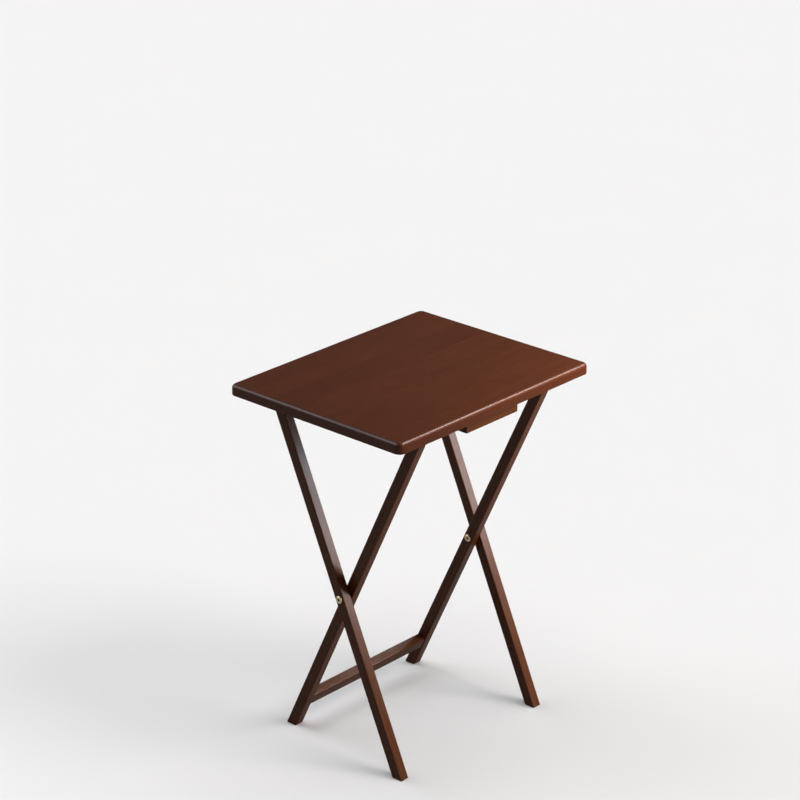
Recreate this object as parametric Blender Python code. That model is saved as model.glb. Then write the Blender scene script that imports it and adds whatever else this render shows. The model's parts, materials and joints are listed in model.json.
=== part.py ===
"""Folding tray table: a level wooden top carried by two crossed leg frames.

The outer legs are hinged to cleats under the back of the top. The inner frame's rail carries
the front of the top inside a notched catch block. The two frames cross on a pair of bolts.
Metres, +Z up, +X along the front edge, front facing -Y, origin on the floor under the top.
"""

from math import atan2, cos, hypot, pi, radians, sin

import bmesh
import bpy
from mathutils import Matrix, Vector

# Overall size, and the rounding of the top's rim
TABLE_HEIGHT = 0.6615
TOP_WIDTH = 0.484
TOP_DEPTH = 0.391
TOP_THICKNESS = 0.0195
TOP_CORNER_RADIUS = 0.012
TOP_UPPER_ROUND = 0.007
TOP_LOWER_ROUND = 0.0015

# Legs: section, spacing, lean of the outer pair and the angle at which the frames cross
LEG_WIDTH = 0.0185
LEG_DEPTH = 0.020
LEG_EDGE_ROUND = 0.0015
OUTER_LEG_X = 0.177
OUTER_FOOT_Y = -0.135
PIVOT_HEIGHT = 0.301
OPEN_ANGLE = radians(48.9)

# Hinge axis under the back of the top, and the rail's radius
HINGE_Y = 0.1398
HINGE_DROP = 0.012
RAIL_RADIUS = 0.0064
RAIL_SOCKET_DEPTH = 0.010

# Bottom stretcher of the inner frame, with two dowel pins in each end
STRETCHER_FROM_FOOT = 0.062
STRETCHER_HEIGHT = 0.022
STRETCHER_THICKNESS = 0.0174
PIN_RADIUS = 0.003
PIN_SPACING = 0.010
PIN_IN_LEG = 0.013
PIN_IN_STRETCHER = 0.015

# Blocks under the top
CLEAT_THICKNESS = 0.018
CLEAT_LENGTH = 0.080
BLOCK_HEIGHT = 0.020
BLOCK_EDGE_ROUND = 0.0015
CATCH_LENGTH = 0.130
CATCH_FRONT_Y = -0.1835
CATCH_ROOF_PAST_RAIL = 0.006

# Bolts, nuts, washers and wood screws
SHAFT_RADIUS = 0.003
BOLT_HEAD_RADIUS = 0.0068
BOLT_HEAD_HEIGHT = 0.0026
BOLT_HEAD_ROUND = 0.0012
KEY_ACROSS_FLATS = 0.005
KEY_DEPTH = 0.0016
SLEEVE_RADIUS = 0.004
SLEEVE_LENGTH = 0.015
WASHER_RADIUS = 0.008
WASHER_THICKNESS = 0.001
HINGE_NUT_RADIUS = 0.0055
HINGE_NUT_THICKNESS = 0.004
SCREW_HEAD_RADIUS = 0.0042
SCREW_SHANK_RADIUS = 0.0019
SCREW_HEAD_HEIGHT = 0.0026
SCREW_TIP_LENGTH = 0.003
SCREW_IN_TOP = 0.011
CLEAT_SCREW_OFFSET = 0.027
CATCH_SCREW_X = 0.045
CATCH_SCREW_Y = -0.174

# Clearances: between touching faces, and round a shaft in its bore
GAP = 0.0003
BORE_CLEARANCE = 0.0002

# How far a screw's hole runs out past the face it starts from
HOLE_RUNOUT = 0.002

# Angles above which a meeting of faces is shaded as an edge, and above which it is rounded
SMOOTH_ANGLE = radians(35)
EASE_ANGLE = radians(40)

# Facets round a turned piece, and round a small one such as a screw or a pin
ROUND_STEPS = 24
SMALL_STEPS = 16

# Facets along each rounding: a corner of the top, its two rims, a leg's end, the catch's notch,
# the edge of a bolt's head and an eased edge
CORNER_STEPS = 6
UPPER_RIM_STEPS = 4
LOWER_RIM_STEPS = 2
LEG_END_STEPS = 10
NOTCH_STEPS = 6
HEAD_ROUND_STEPS = 2
EASE_STEPS = 2

# Places that follow from the driving sizes. Points are (y, z) pairs in the side view.
UNDERSIDE = TABLE_HEIGHT - TOP_THICKNESS
LEG_GAP = WASHER_THICKNESS + 2 * GAP
INNER_LEG_X = OUTER_LEG_X - LEG_WIDTH - LEG_GAP
CLEAT_X = OUTER_LEG_X + LEG_WIDTH / 2 + LEG_GAP + CLEAT_THICKNESS / 2
HINGE = Vector((0, HINGE_Y, UNDERSIDE - HINGE_DROP))
OUTER_LEAN = -atan2(HINGE.y - OUTER_FOOT_Y, HINGE.z)
INNER_LEAN = OUTER_LEAN + OPEN_ANGLE
PIVOT = Vector((0, OUTER_FOOT_Y - PIVOT_HEIGHT * sin(OUTER_LEAN) / cos(OUTER_LEAN), PIVOT_HEIGHT))
# The rail is as far from the pivot as the hinge is, so the top stays level while the legs close
PIVOT_TO_END = hypot(HINGE.y - PIVOT.y, HINGE.z - PIVOT.z)
RAIL = PIVOT + Matrix.Rotation(OPEN_ANGLE, 3, "X") @ (HINGE - PIVOT)
SIDES = (("left", -1), ("right", 1))


def clear_scene():
    for old in list(bpy.data.objects):
        bpy.data.objects.remove(old, do_unlink=True)


def make_material(name, colour, roughness, metallic=0.0):
    material = bpy.data.materials.new(name)
    material.use_nodes = True
    shader = material.node_tree.nodes["Principled BSDF"]
    shader.inputs["Base Color"].default_value = (*colour, 1.0)
    shader.inputs["Roughness"].default_value = roughness
    shader.inputs["Metallic"].default_value = metallic
    return material


def make_group(name, place):
    """An empty on a joint's axis, which carries every piece of one rigid group."""
    group = bpy.data.objects.new(name, None)
    group.location = place
    group.empty_display_size = 0.03
    bpy.context.scene.collection.objects.link(group)
    return group


def make_object(name, shape, material, group, place, turn=(0.0, 0.0, 0.0)):
    """An object from a bmesh, placed in world coordinates under its group."""
    bmesh.ops.recalc_face_normals(shape, faces=shape.faces)
    mesh = bpy.data.meshes.new(name)
    shape.to_mesh(mesh)
    shape.free()
    mesh.shade_smooth()
    mesh.set_sharp_from_angle(angle=SMOOTH_ANGLE)
    piece = bpy.data.objects.new(name, mesh)
    if material:
        mesh.materials.append(material)
    bpy.context.scene.collection.objects.link(piece)
    piece.parent = group
    piece.location = Vector(place) - group.location
    piece.rotation_euler = turn
    return piece


def prism(outline, low, high, along="X"):
    """A closed outline of points, extruded from low to high along one axis."""
    shape = bmesh.new()
    corner = {"X": lambda a, b: (low, a, b), "Z": lambda a, b: (a, b, low)}[along]
    travel = {"X": (high - low, 0, 0), "Z": (0, 0, high - low)}[along]
    base = shape.faces.new([shape.verts.new(corner(a, b)) for a, b in outline])
    raised = bmesh.ops.extrude_face_region(shape, geom=[base])["geom"]
    moved = [item for item in raised if isinstance(item, bmesh.types.BMVert)]
    bmesh.ops.translate(shape, verts=moved, vec=travel)
    return shape


def turned(profile, steps=ROUND_STEPS):
    """A solid of revolution about X, from (radius, x) points that start and end on the axis."""
    shape = bmesh.new()
    points = [shape.verts.new((x, radius, 0)) for radius, x in profile]
    edges = [shape.edges.new(pair) for pair in zip(points, points[1:])]
    bmesh.ops.spin(shape, geom=points + edges, cent=(0, 0, 0), axis=(1, 0, 0), angle=2 * pi, steps=steps)
    bmesh.ops.remove_doubles(shape, verts=shape.verts, dist=1e-6)
    return shape


def ring(inner, outer, length, steps=ROUND_STEPS):
    """A washer or plain bush about X, from x = 0 to x = length."""
    shape = bmesh.new()
    corners = ((inner, 0), (outer, 0), (outer, length), (inner, length))
    points = [shape.verts.new((x, radius, 0)) for radius, x in corners]
    edges = [shape.edges.new(pair) for pair in zip(points, points[1:] + points[:1])]
    bmesh.ops.spin(shape, geom=points + edges, cent=(0, 0, 0), axis=(1, 0, 0), angle=2 * pi, steps=steps)
    bmesh.ops.remove_doubles(shape, verts=shape.verts, dist=1e-6)
    return shape


def arc(centre, radius, start, end, steps):
    """Points on an arc, both ends included, with angles in radians."""
    angles = [start + (end - start) * step / steps for step in range(steps + 1)]
    return [(centre[0] + radius * cos(angle), centre[1] + radius * sin(angle)) for angle in angles]


def ease_edges(piece, width):
    bevel = piece.modifiers.new("eased_edges", "BEVEL")
    bevel.width = width
    bevel.segments = EASE_STEPS
    bevel.limit_method = "ANGLE"
    bevel.angle_limit = EASE_ANGLE


def cut(piece, name, shape, place, turn=(0.0, 0.0, 0.0)):
    """Takes a cutter's shape out of a piece. The cutter shares the piece's group."""
    cutter = make_object(f"cutter_{piece.name}_{name}", shape, None, piece.parent, place, turn)
    cutter.hide_render = True
    cutter.display_type = "WIRE"
    boolean = piece.modifiers.new(name, "BOOLEAN")
    boolean.operation = "DIFFERENCE"
    boolean.solver = "EXACT"
    boolean.object = cutter


def rod(radius, low, high, steps=ROUND_STEPS):
    return turned([(0, low), (radius, low), (radius, high), (0, high)], steps)


def facing(side):
    """The turn that points a piece's own +X outwards on the left (-1) or the right (+1) side."""
    return (0.0, 0.0, 0.0) if side > 0 else (0.0, 0.0, pi)


def headed_bolt(name, group, place, turn, shaft, material):
    """A low round head with a hexagon recess, and a plain shaft. x = 0 is the face it bears on."""
    rounding = arc(
        (BOLT_HEAD_RADIUS - BOLT_HEAD_ROUND, BOLT_HEAD_HEIGHT - BOLT_HEAD_ROUND),
        BOLT_HEAD_ROUND, pi / 2, 0, HEAD_ROUND_STEPS,
    )
    profile = [(0, BOLT_HEAD_HEIGHT), *rounding, (BOLT_HEAD_RADIUS, GAP), *shaft]
    bolt = make_object(name, turned(profile), material, group, place, turn)
    across_corners = KEY_ACROSS_FLATS / 2 / cos(pi / 6)
    key = rod(across_corners, BOLT_HEAD_HEIGHT - KEY_DEPTH, BOLT_HEAD_HEIGHT + KEY_DEPTH, 6)
    cut(bolt, "key", key, place, turn)
    return bolt


def wood_screw(name, group, place, length, material):
    """A countersunk screw driven upwards, with its head's face at the given place."""
    profile = [
        (0, 0),
        (SCREW_HEAD_RADIUS, 0),
        (SCREW_SHANK_RADIUS, -SCREW_HEAD_HEIGHT),
        (SCREW_SHANK_RADIUS, SCREW_TIP_LENGTH - length),
        (0, -length),
    ]
    return make_object(name, turned(profile, SMALL_STEPS), material, group, place, (0, pi / 2, 0))


def screw_hole(piece, name, place, length):
    """The clearance hole of a wood screw whose head's face is at the given place."""
    wide = SCREW_HEAD_RADIUS + GAP
    narrow = SCREW_SHANK_RADIUS + GAP
    profile = [
        (0, HOLE_RUNOUT),
        (wide, HOLE_RUNOUT),
        (wide, -GAP),
        (narrow, -SCREW_HEAD_HEIGHT - GAP),
        (narrow, -length - GAP),
        (0, -length - GAP),
    ]
    cut(piece, name, turned(profile, SMALL_STEPS), place, (0, pi / 2, 0))


def build_top(group, wood):
    """The rounded rectangular top, with a wide rounding above and a small one below."""
    x = TOP_WIDTH / 2 - TOP_CORNER_RADIUS
    y = TOP_DEPTH / 2 - TOP_CORNER_RADIUS
    outline = []
    for quarter, centre in enumerate(((x, y), (-x, y), (-x, -y), (x, -y))):
        start = quarter * pi / 2
        outline += arc(centre, TOP_CORNER_RADIUS, start, start + pi / 2, CORNER_STEPS)
    shape = prism(outline, UNDERSIDE - HINGE.z, TABLE_HEIGHT - HINGE.z, along="Z")
    for rim_z, width, segments in (
        (TABLE_HEIGHT - HINGE.z, TOP_UPPER_ROUND, UPPER_RIM_STEPS),
        (UNDERSIDE - HINGE.z, TOP_LOWER_ROUND, LOWER_RIM_STEPS),
    ):
        rim = [edge for edge in shape.edges if all(abs(v.co.z - rim_z) < 1e-6 for v in edge.verts)]
        bmesh.ops.bevel(
            shape, geom=rim, offset=width, segments=segments, profile=0.5,
            affect="EDGES", clamp_overlap=True,
        )
    bmesh.ops.translate(shape, verts=shape.verts, vec=(0, -HINGE.y, 0))
    return make_object("tray_top", shape, wood, group, HINGE)


def build_cleats(group, wood, steel, top):
    """The two blocks that hold the hinge bolts, each with two screws up into the top."""
    bottom = UNDERSIDE - BLOCK_HEIGHT
    length = BLOCK_HEIGHT - GAP + SCREW_IN_TOP
    for side_name, side in SIDES:
        half = CLEAT_LENGTH / 2
        slope = BLOCK_HEIGHT / 2
        low = bottom - HINGE.z
        high = UNDERSIDE - GAP - HINGE.z
        outline = [(-half + slope, low), (half - slope, low), (half, low + slope), (half, high),
                   (-half, high), (-half, low + slope)]
        shape = prism(outline, -CLEAT_THICKNESS / 2, CLEAT_THICKNESS / 2)
        place = HINGE + Vector((side * CLEAT_X, 0, 0))
        cleat = make_object(f"hinge_cleat_{side_name}", shape, wood, group, place)
        ease_edges(cleat, BLOCK_EDGE_ROUND)
        bore = rod(SHAFT_RADIUS + BORE_CLEARANCE, -CLEAT_THICKNESS, CLEAT_THICKNESS)
        cut(cleat, "hinge_bore", bore, place)
        for end_name, end in (("front", -1), ("back", 1)):
            spot = (side * CLEAT_X, HINGE.y + end * CLEAT_SCREW_OFFSET, bottom + GAP)
            screw_hole(cleat, f"{end_name}_screw", spot, length)
            screw_hole(top, f"{side_name}_{end_name}_screw", spot, length)
            wood_screw(f"cleat_screw_{side_name}_{end_name}", group, spot, length, steel)


def build_catch(group, wood, steel, top):
    """The block under the front edge. Its notch, open at the back, sits over the rail."""
    seat = RAIL_RADIUS + GAP
    bottom = UNDERSIDE - BLOCK_HEIGHT
    roof = (RAIL.y + CATCH_ROOF_PAST_RAIL, RAIL.z + seat)
    outline = [
        (RAIL.y - seat, bottom),
        (CATCH_FRONT_Y, bottom),
        (CATCH_FRONT_Y, UNDERSIDE - GAP),
        (roof[0], UNDERSIDE - GAP),
        roof,
        *arc((RAIL.y, RAIL.z), seat, pi / 2, pi, NOTCH_STEPS),
    ]
    shape = prism([(y - HINGE.y, z - HINGE.z) for y, z in outline], -CATCH_LENGTH / 2, CATCH_LENGTH / 2)
    block = make_object("catch_block", shape, wood, group, HINGE)
    length = BLOCK_HEIGHT - GAP + SCREW_IN_TOP
    for side_name, side in SIDES:
        spot = (side * CATCH_SCREW_X, CATCH_SCREW_Y, bottom + GAP)
        screw_hole(block, f"{side_name}_screw", spot, length)
        screw_hole(top, f"catch_{side_name}_screw", spot, length)
        wood_screw(f"catch_screw_{side_name}", group, spot, length, steel)


def build_leg(name, group, wood, x, lean):
    """A leg about the pivot: round at its upper end, and cut level with the floor below."""
    half = LEG_DEPTH / 2

    def floor_at(y):
        return -(PIVOT.z + y * sin(lean)) / cos(lean)

    outline = [
        (-half, floor_at(-half)),
        (half, floor_at(half)),
        *arc((0, PIVOT_TO_END), half, 0, pi, LEG_END_STEPS),
    ]
    shape = prism(outline, -LEG_WIDTH / 2, LEG_WIDTH / 2)
    leg = make_object(name, shape, wood, group, PIVOT + Vector((x, 0, 0)), (lean, 0, 0))
    ease_edges(leg, LEG_EDGE_ROUND)
    return leg


def build_outer_frame(group, wood, brass, steel):
    """The outer legs, and the bolts, sleeve nuts and washers on which the frames cross."""
    for side_name, side in SIDES:
        leg = build_leg(f"outer_leg_{side_name}", group, wood, side * OUTER_LEG_X, OUTER_LEAN)
        centre = Vector((side * OUTER_LEG_X, 0, 0))
        turn = facing(side)
        bore = SHAFT_RADIUS + BORE_CLEARANCE
        cut(leg, "pivot_bore", rod(bore, -LEG_WIDTH, LEG_WIDTH), PIVOT + centre, turn)
        cut(leg, "hinge_bore", rod(bore, -LEG_WIDTH, LEG_WIDTH), HINGE + centre, turn)
        pocket_end = HINGE_NUT_THICKNESS + 2 * GAP - LEG_WIDTH / 2
        pocket = rod(HINGE_NUT_RADIUS + GAP, -LEG_WIDTH, pocket_end)
        cut(leg, "nut_pocket", pocket, HINGE + centre, turn)

        outer_face = PIVOT + Vector((side * (OUTER_LEG_X + LEG_WIDTH / 2), 0, 0))
        shaft_end = -(2 * LEG_WIDTH + LEG_GAP) + KEY_DEPTH + 4 * GAP
        shaft = [(SHAFT_RADIUS, GAP), (SHAFT_RADIUS, shaft_end), (0, shaft_end)]
        headed_bolt(f"pivot_bolt_{side_name}", group, outer_face, turn, shaft, brass)

        inner_face = PIVOT + Vector((side * (INNER_LEG_X - LEG_WIDTH / 2), 0, 0))
        bore_end = -KEY_DEPTH / 2
        sleeve = [
            (SLEEVE_RADIUS, GAP),
            (SLEEVE_RADIUS, -SLEEVE_LENGTH),
            (bore, -SLEEVE_LENGTH),
            (bore, bore_end),
            (0, bore_end),
        ]
        headed_bolt(f"pivot_nut_{side_name}", group, inner_face, facing(-side), sleeve, brass)

        washer = ring(bore, WASHER_RADIUS, WASHER_THICKNESS)
        washer_x = side * (INNER_LEG_X + LEG_WIDTH / 2 + GAP)
        make_object(f"pivot_washer_{side_name}", washer, steel, group,
                    PIVOT + Vector((washer_x, 0, 0)), turn)


def build_inner_frame(group, wood, pale_wood):
    """The inner legs, joined by the round top rail and the flat bottom stretcher."""
    inner_face = INNER_LEG_X - LEG_WIDTH / 2
    foot = PIVOT - Matrix.Rotation(INNER_LEAN, 3, "X") @ Vector((0, 0, PIVOT.z / cos(INNER_LEAN)))
    lift = Matrix.Rotation(INNER_LEAN, 3, "X") @ Vector((0, 0, STRETCHER_FROM_FOOT))
    stretcher_at = foot + lift
    turn = (INNER_LEAN, 0, 0)
    upward = Matrix.Rotation(INNER_LEAN, 3, "X") @ Vector((0, 0, PIN_SPACING / 2))

    half_length = inner_face - GAP
    half_t = STRETCHER_THICKNESS / 2
    half_h = STRETCHER_HEIGHT / 2
    outline = [(-half_t, -half_h), (half_t, -half_h), (half_t, half_h), (-half_t, half_h)]
    stretcher = make_object("bottom_stretcher", prism(outline, -half_length, half_length), wood,
                            group, stretcher_at, turn)
    ease_edges(stretcher, LEG_EDGE_ROUND)

    rail_end = inner_face + RAIL_SOCKET_DEPTH - GAP
    make_object("top_rail", rod(RAIL_RADIUS, -rail_end, rail_end), wood, group, RAIL)

    for side_name, side in SIDES:
        leg = build_leg(f"inner_leg_{side_name}", group, wood, side * INNER_LEG_X, INNER_LEAN)
        face = Vector((side * inner_face, 0, 0))
        side_turn = facing(side)
        sleeve_bore = rod(SLEEVE_RADIUS + BORE_CLEARANCE, -LEG_WIDTH, 2 * LEG_WIDTH)
        cut(leg, "pivot_bore", sleeve_bore, PIVOT + face, side_turn)
        socket = rod(RAIL_RADIUS + GAP, -LEG_WIDTH, RAIL_SOCKET_DEPTH)
        cut(leg, "rail_socket", socket, RAIL + face, side_turn)
        for level_name, level in (("lower", -1), ("upper", 1)):
            spot = stretcher_at + face + level * upward
            hole = PIN_RADIUS + BORE_CLEARANCE
            name = f"{level_name}_pin_hole"
            cut(leg, name, rod(hole, -PIN_IN_LEG, PIN_IN_LEG + GAP, SMALL_STEPS), spot, side_turn)
            cut(stretcher, f"{side_name}_{name}", rod(hole, -PIN_IN_STRETCHER - GAP, PIN_IN_LEG, SMALL_STEPS),
                spot, side_turn)
            pin = rod(PIN_RADIUS, -PIN_IN_STRETCHER, PIN_IN_LEG, SMALL_STEPS)
            make_object(f"stretcher_pin_{side_name}_{level_name}", pin, pale_wood, group, spot, side_turn)


def build_hinges(group, brass, steel):
    """The bolt, nut and washer on which each cleat turns on its outer leg."""
    bore = SHAFT_RADIUS + BORE_CLEARANCE
    for side_name, side in SIDES:
        turn = facing(side)
        cleat_face = HINGE + Vector((side * (CLEAT_X + CLEAT_THICKNESS / 2), 0, 0))
        shaft_end = -(CLEAT_THICKNESS + LEG_GAP + LEG_WIDTH) + GAP
        shaft = [(SHAFT_RADIUS, GAP), (SHAFT_RADIUS, shaft_end), (0, shaft_end)]
        headed_bolt(f"hinge_bolt_{side_name}", group, cleat_face, turn, shaft, brass)
        nut_x = side * (OUTER_LEG_X - LEG_WIDTH / 2 + GAP)
        nut = ring(bore, HINGE_NUT_RADIUS, HINGE_NUT_THICKNESS)
        make_object(f"hinge_nut_{side_name}", nut, steel, group, HINGE + Vector((nut_x, 0, 0)), turn)
        washer_x = side * (OUTER_LEG_X + LEG_WIDTH / 2 + GAP)
        washer = ring(bore, WASHER_RADIUS, WASHER_THICKNESS)
        make_object(f"hinge_washer_{side_name}", washer, steel, group,
                    HINGE + Vector((washer_x, 0, 0)), turn)


def main():
    clear_scene()
    top_wood = make_material("walnut_top", (0.110, 0.038, 0.019), 0.28)
    frame_wood = make_material("walnut_frame", (0.070, 0.027, 0.013), 0.35)
    pale_wood = make_material("dowel_beech", (0.55, 0.38, 0.22), 0.6)
    brass = make_material("brass_plate", (0.72, 0.60, 0.38), 0.3, 1.0)
    steel = make_material("zinc_steel", (0.55, 0.55, 0.56), 0.35, 1.0)

    outer_frame = make_group("outer_frame_axis", HINGE)
    inner_frame = make_group("inner_frame_axis", PIVOT)
    hinge_pins = make_group("hinge_pins_axis", HINGE)
    tray = make_group("tray_axis", HINGE)

    top = build_top(tray, top_wood)
    build_cleats(tray, frame_wood, steel, top)
    build_catch(tray, frame_wood, steel, top)
    build_outer_frame(outer_frame, frame_wood, brass, steel)
    build_inner_frame(inner_frame, frame_wood, pale_wood)
    build_hinges(hinge_pins, brass, steel)


main()
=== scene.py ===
"""Folding tray table: finished surfaces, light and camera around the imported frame.

Every CAD node is replaced by a finer piece of the same size, in the same place and on the same
body. Metres, +Z up, +X along the front edge, front facing -Y, floor at z = 0.
"""

import json
from math import atan2, cos, pi, radians, sin

import bmesh
import bpy
from mathutils import Matrix, Vector

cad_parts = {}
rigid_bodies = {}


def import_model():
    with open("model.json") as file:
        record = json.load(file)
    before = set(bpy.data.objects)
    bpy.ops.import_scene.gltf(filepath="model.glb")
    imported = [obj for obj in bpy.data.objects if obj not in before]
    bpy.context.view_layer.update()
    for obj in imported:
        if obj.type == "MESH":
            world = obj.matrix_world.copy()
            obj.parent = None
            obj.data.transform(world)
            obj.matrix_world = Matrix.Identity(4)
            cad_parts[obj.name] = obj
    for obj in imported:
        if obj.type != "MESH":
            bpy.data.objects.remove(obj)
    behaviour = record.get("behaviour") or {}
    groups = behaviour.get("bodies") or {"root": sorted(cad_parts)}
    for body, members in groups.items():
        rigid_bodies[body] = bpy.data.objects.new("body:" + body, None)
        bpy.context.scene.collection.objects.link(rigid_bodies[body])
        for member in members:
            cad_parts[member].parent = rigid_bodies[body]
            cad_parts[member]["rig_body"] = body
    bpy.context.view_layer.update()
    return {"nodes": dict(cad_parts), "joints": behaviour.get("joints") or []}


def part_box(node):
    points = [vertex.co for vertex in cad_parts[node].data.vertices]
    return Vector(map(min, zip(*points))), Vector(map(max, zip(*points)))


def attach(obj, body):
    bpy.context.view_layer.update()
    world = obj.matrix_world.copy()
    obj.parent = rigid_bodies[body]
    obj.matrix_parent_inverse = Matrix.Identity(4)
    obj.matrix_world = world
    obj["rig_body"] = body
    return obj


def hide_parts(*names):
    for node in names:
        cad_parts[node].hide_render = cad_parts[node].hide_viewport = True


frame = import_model()

# Clearance that every CAD solid keeps to its neighbour, and round a shaft in its bore
GAP = 0.0003
BORE_CLEARANCE = 0.0002

# Roundings of the wood
TOP_CORNER_RADIUS = 0.012
TOP_UPPER_ROUND = 0.007
TOP_LOWER_ROUND = 0.0015
EDGE_ROUND = 0.0016
BLOCK_EDGE_ROUND = 0.0012
ARRIS = 0.0005

# Sections that a box cannot give, because their pieces lean
LEG_DEPTH = 0.020
STRETCHER_HEIGHT = 0.022
STRETCHER_THICKNESS = 0.0174
RAIL_SOCKET_DEPTH = 0.010
CATCH_ROOF_PAST_RAIL = 0.006
PIN_IN_LEG = 0.013
PIN_IN_STRETCHER = 0.015

# Metal parts
SHAFT_RADIUS = 0.003
HEAD_HEIGHT = 0.0026
HEAD_ROUND = 0.0013
KEY_ACROSS_FLATS = 0.005
KEY_DEPTH = 0.0016
SLEEVE_RADIUS = 0.004
SCREW_SHANK_RADIUS = 0.0019
SCREW_HEAD_HEIGHT = 0.0026
SCREW_TIP_LENGTH = 0.003
THREAD_PITCH = 0.001
THREAD_DEPTH = 0.0003
METAL_ARRIS = 0.0002

# A hole for a wood screw runs out past the face it starts from
HOLE_RUNOUT = 0.002

# Cross recess of a wood screw: half length and half width of a bar, how deep it goes and how far
# its cutter stands out, and the bar's share of its size at the top and at the bottom
CROSS_HALF_LENGTH = 0.0023
CROSS_HALF_WIDTH = 0.00045
CROSS_DEPTH = 0.0016
CROSS_RUNOUT = 0.001
CROSS_TAPER = (1.15, 0.45)

# Turns of thread on a hinge bolt's end, and of plain shank under a wood screw's head
HINGE_THREAD_TURNS = 8
SCREW_PLAIN_TURNS = 2

# The boards glued up into the top: their width, where the first seam falls and half the width
# that a seam darkens, both as shares of a board, and how far each board's grain is shifted
STAVE_WIDTH = 0.058
STAVE_START = 0.37
SEAM_REACH = 0.012
STAVE_SHIFT = (2.0, 0.3, 0.3)

# Grain: how often each layer repeats per metre, along the piece's own X and then across it
FIBRE_SCALE = (9.0, 330.0, 330.0)
FINE_SCALE = (34.0, 1150.0, 1150.0)
PORE_SCALE = (75.0, 1500.0, 1500.0)
CLOUD_SCALE = (5.0, 14.0, 14.0)
RUB_SCALE = (22.0, 60.0, 60.0)

# The same for layers that are alike in all directions, and how some are drawn out along the grain
SPECKLE_SCALE = 900.0
SMUDGE_SCALE = 17.0
WAVE_SCALE = 30.0
WAVE_STRETCH = (0.5, 1.0, 1.0)

# Growth rings: their bends, the place of their heart beside the piece, and how they are drawn out
BEND_SCALE = 2.6
BEND_REACH = (0.0, 0.022, 0.022)
HEART_OFFSET = (0.0, 0.031, 0.083)
HEART_STRETCH = (0.14, 1.0, 1.0)
RING_SCALE = 58.0

# Shift of the grain from each piece to the next
GRAIN_STEP = (0.37, 0.053, 0.091)

# What each layer adds to the tone, and the tones at which the three stains lie
BASE_TONE = 0.055
RING_TONE = 0.15
FIBRE_TONE = 0.62
FINE_TONE = 0.22
CLOUD_TONE = 0.30
BOARD_TONE = 0.16
DARK_AT = 0.42
MID_AT = 0.70
LIGHT_AT = 0.98

# Open pores, seams and end grain: how strongly each darkens, and the tint it multiplies in
PORE_RANGE = (0.60, 0.70)
PORE_SHARE = 0.30
PORE_TINT = (0.42, 0.35, 0.32)
SEAM_SHARE = 0.5
SEAM_TINT = (0.4, 0.3, 0.3)
END_RANGE = (0.55, 0.9)
END_SHARE = 0.2
END_SPECKLE = 0.6
END_TINT = (0.42, 0.34, 0.32)

# Lacquer rubbed thin: how far a patch reaches in from an edge, between which distances it fades,
# and how much of the worn colour shows
RUB_REACH = -0.0034
RUB_RANGE = (-0.0016, 0.0004)
RUB_SHARE = 0.42

# What each layer adds to the roughness and to the height of the wood's surface
SMUDGE_ROUGH = 0.14
FIBRE_ROUGH = 0.10
PORE_ROUGH = 0.10
RUB_ROUGH = 0.06
END_ROUGH = 0.10
FIBRE_HEIGHT = 0.5
FINE_HEIGHT = 0.22
PORE_HEIGHT = -0.45
SEAM_HEIGHT = -0.5
GRAIN_BUMP = {"Strength": 0.22, "Distance": 0.00014}
WAVE_BUMP = {"Strength": 0.30, "Distance": 0.0011}
WOOD_IOR = 1.5

# Plated metal: turning lines, dull spots, the tint of the painted shade in a recess and its soft edge
LINE_SCALE = 700.0
LINE_SHARE = 0.12
LINE_TINT = (0.8, 0.78, 0.75)
LINE_ROUGH = 0.05
LINE_HEIGHT = 0.3
DULL_SCALE = 420.0
DULL_RANGE = (0.48, 0.72)
DULL_SHARE = 0.6
DULL_ROUGH = 0.22
DULL_HEIGHT = 0.7
RECESS_SHADE_RANGE = (0.95, 1.15)
RECESS_SHADE_TINT = (0.16, 0.13, 0.10)
METAL_BUMP = {"Strength": 0.25, "Distance": 0.00005}

# Floor: its two tones as the camera sees it and the scale of their mottle, the tones of the
# diffuse and of the glossy light that it throws back, its finish and its size
FLOOR_DARK = (0.800, 0.805, 0.815)
FLOOR_LIGHT = (0.810, 0.815, 0.822)
MOTTLE_SCALE = 3.0
FLOOR_BOUNCE = (0.390, 0.300, 0.235)
FLOOR_GLOSS = (0.330, 0.325, 0.320)
FLOOR_ROUGHNESS = 0.9
FLOOR_SPECULAR = 0.1
FLOOR_HALF_SIZE = 80.0

# The faint light from all round, and the wall that the camera sees past the floor's edge
WORLD_COLOUR = (0.9, 0.93, 1.0, 1.0)
WORLD_STRENGTH = 0.06
WALL_COLOUR = (0.89, 0.885, 0.88, 1.0)

# Distant soft lights: name, direction, strength on a face turned to it, spread, colour, whether
# it lights by its gloss alone, and the pieces it is for, where it is not for everything
LIGHTS = (
    ("key_light", (0.30, -0.68, 0.64), 1.3, radians(30), (1.0, 0.95, 0.90), False, None),
    ("rim_light", (0.68, -0.22, 0.70), 3.8, radians(15), (1.0, 0.93, 0.91), True, None),
    ("overhead_light", (-0.28, 0.62, 0.73), 0.7, radians(40), (0.93, 0.94, 1.0), False, None),
    ("side_gloss", (-0.42, 0.60, 0.68), 1.5, radians(28), (0.92, 0.92, 1.0), True, None),
    ("back_fill", (0.0, 0.95, 0.30), 0.85, radians(40), (1.0, 0.97, 0.94), False, None),
    ("floor_light", (0.15, -0.10, 0.98), 1.85, radians(70), (1.0, 0.99, 0.97), False, "floor"),
)

# Near softboxes: name, place, width, height, power in watts, colour, whether it shows in gloss,
# and the pieces it is for
SOFTBOX_AIM = (0.0, 0.0, 0.60)
SOFTBOXES = (
    ("front_softbox", (0.45, -0.75, 0.97), 0.35, 0.35, 16.0, (1.0, 0.92, 0.85), False, "fine_"),
    ("leg_sheen", (0.82, -0.79, 0.69), 0.6, 0.5, 14.0, (0.88, 0.94, 1.0), True, "fine_outer_leg"),
)

# Facets round a turned piece, round a small one, and round a hexagon
ROUND_STEPS = 72
SMALL_STEPS = 40
HEXAGON_STEPS = 6

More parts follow.
